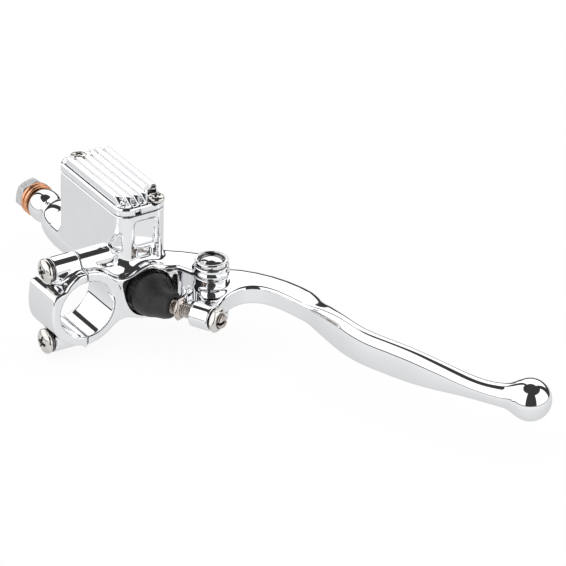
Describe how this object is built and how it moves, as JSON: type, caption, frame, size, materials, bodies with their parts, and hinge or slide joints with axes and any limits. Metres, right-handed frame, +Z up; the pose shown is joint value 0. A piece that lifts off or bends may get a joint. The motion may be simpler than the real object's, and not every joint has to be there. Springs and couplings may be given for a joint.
{
  "type": "motorcycle brake master cylinder",
  "caption": "Handlebar-clamped hydraulic brake master cylinder with integral ribbed-lid reservoir, dog-leg hand lever and push-screw adjuster.",
  "frame": {"origin": "in the plane of the clamp's outboard face, at mid-width of the clamp cap's ring, level with the handlebar axis and 14.6 mm behind it", "axes": "+X outboard along the handlebar (out of the clamp's outboard face, toward the lever tip), +Y forward away from the handlebar toward the lever, +Z up toward the reservoir lid"},
  "size_m": [0.2616, 0.1426, 0.0632],
  "materials": {
    "chromed_casting": "polished chrome plate",
    "zinc_steel": "bright zinc plate",
    "steel": "satin",
    "copper": "annealed copper",
    "bearing_bronze": "sintered",
    "black_rubber": "matte",
    "diaphragm_plate": "moulded"
  },
  "bodies": {
    "body": {"master_cylinder_body": "chromed_casting", "clamp_cap": "chromed_casting", "clamp_washer_upper": "steel", "clamp_screw_upper": "zinc_steel", "clamp_washer_lower": "steel", "clamp_screw_lower": "zinc_steel", "reservoir_diaphragm": "black_rubber", "diaphragm_plate": "diaphragm_plate", "reservoir_cover": "chromed_casting", "cover_screw_inboard": "zinc_steel", "cover_screw_outboard": "zinc_steel", "copper_washer_inner": "copper", "copper_washer_outer": "copper", "banjo_bolt": "steel", "stop_washer": "steel", "piston_circlip": "steel", "return_spring": "steel", "dust_boot": "black_rubber", "pivot_bolt": "steel"},
    "lever": {"brake_lever": "chromed_casting", "pivot_bush": "bearing_bronze", "adjuster_screw": "zinc_steel", "adjuster_nut_inner": "zinc_steel", "adjuster_nut_outer": "zinc_steel"},
    "piston": {"piston": "steel", "primary_cup": "black_rubber", "secondary_cup": "black_rubber"}
  },
  "joints": [
    {"name": "lever_pivot", "type": "hinge", "parent": "body", "child": "lever", "pos_m": [0.0115, 0.0666, 0], "axis": [0, 0, -1], "range_deg": [0, 22], "deforming": ["dust_boot"]},
    {"name": "piston_slide", "type": "slide", "parent": "body", "child": "piston", "axis": [-1, 0, 0], "range_m": [0, 0.00826], "deforming": ["return_spring", "dust_boot"]}
  ],
  "couplings": [
    {"joint": "piston_slide", "follows": "lever_pivot", "m_per_rad": 0.0215}
  ]
}
